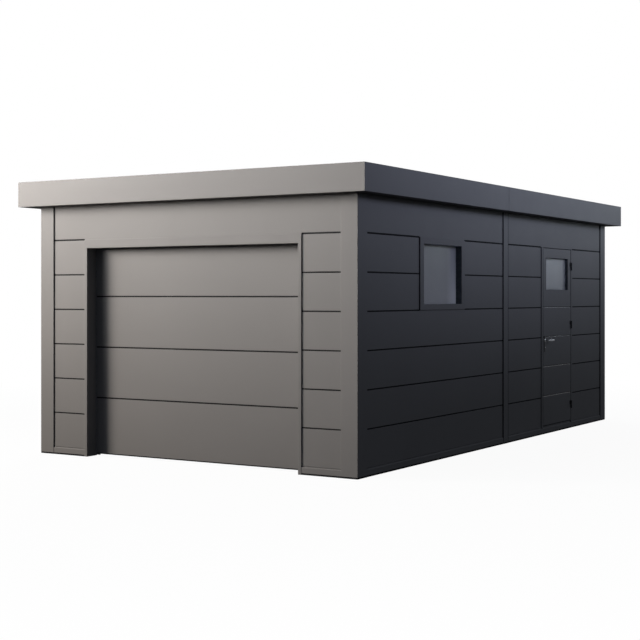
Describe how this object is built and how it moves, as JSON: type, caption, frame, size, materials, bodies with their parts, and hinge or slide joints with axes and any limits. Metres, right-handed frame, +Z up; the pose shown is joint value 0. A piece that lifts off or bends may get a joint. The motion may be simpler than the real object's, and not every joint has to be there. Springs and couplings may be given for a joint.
{
  "type": "single garage",
  "caption": "Flat-roofed single garage in grey sheet steel, with a sectional door in front and a window and a side door in one long wall.",
  "frame": {"origin": "on the ground, at the middle of the plan", "axes": "+Z up, +X to the right seen from the front, +Y to the back, so the garage door faces -Y"},
  "size_m": [3.66, 6.13, 2.494],
  "materials": {
    "wall_steel": "satin grey powder coat on folded sheet steel",
    "base_steel": "satin grey powder coat",
    "garage_door_steel": "satin grey powder coat on smooth door sections",
    "side_door_steel": "satin grey powder coat",
    "roof_edge_steel": "satin grey powder coat",
    "roof_sheet": "matt grey coated ribbed roof sheet",
    "roof_beam_steel": "galvanised steel, dull",
    "frame_steel": "satin dark grey powder coat",
    "guide_steel": "galvanised steel guide",
    "window_glass": "plain glass, greyish",
    "door_rubber": "black rubber seal",
    "hinge_black": "black coated steel",
    "lock_plate_black": "dark grey coated steel",
    "lever_steel": "bright satin steel"
  },
  "bodies": {
    "garage": {"base_rails": "base_steel", "corner_post_front_left": "wall_steel", "corner_post_front_right": "wall_steel", "corner_post_back_left": "wall_steel", "corner_post_back_right": "wall_steel", "front_header": "wall_steel", "front_panels_left": "wall_steel", "front_panels_right": "wall_steel", "garage_lining_left": "wall_steel", "garage_lining_right": "wall_steel", "garage_lining_head": "wall_steel", "garage_door_section_1": "garage_door_steel", "garage_door_section_2": "garage_door_steel", "garage_door_section_3": "garage_door_steel", "garage_door_section_4": "garage_door_steel", "garage_door_seal": "door_rubber", "garage_door_guides": "guide_steel", "right_header_front": "wall_steel", "right_panels_low": "wall_steel", "right_panels_beside_window": "wall_steel", "window_surround": "wall_steel", "window_glass": "window_glass", "window_frame": "frame_steel", "right_stile": "wall_steel", "right_header_back": "wall_steel", "right_panels_before_door": "wall_steel", "right_panels_after_door": "wall_steel", "side_door_jambs": "wall_steel", "side_door_stops": "frame_steel", "left_panels_front": "wall_steel", "left_stile": "wall_steel", "left_panels_back": "wall_steel", "back_panels": "wall_steel", "soffit_front": "roof_edge_steel", "soffit_back": "roof_edge_steel", "soffit_left": "roof_edge_steel", "soffit_right": "roof_edge_steel", "fascia_front": "roof_edge_steel", "fascia_back": "roof_edge_steel", "fascia_left": "roof_edge_steel", "fascia_right": "roof_edge_steel", "roof_beams": "roof_beam_steel", "roof_deck": "roof_sheet", "hinge_frame_halves": "hinge_black"},
    "side_door": {"side_door_leaf": "side_door_steel", "side_door_glass": "window_glass", "side_door_glass_beads": "frame_steel", "side_door_lock_plates": "lock_plate_black", "hinge_door_halves": "hinge_black"},
    "door_lever": {"side_door_lever": "lever_steel"}
  },
  "joints": [
    {"name": "side_door_swing", "type": "hinge", "parent": "garage", "child": "side_door", "pos_m": [1.695, 1.792, 1], "axis": [0, 0, 1], "range_deg": [0, 110]},
    {"name": "lever_turn", "type": "hinge", "parent": "side_door", "child": "door_lever", "pos_m": [1.685, 1.032, 0.983], "axis": [-1, 0, 0], "range_deg": [0, 45], "stiffness_Nm_per_rad": 1.6, "springref_deg": -28.65}
  ]
}
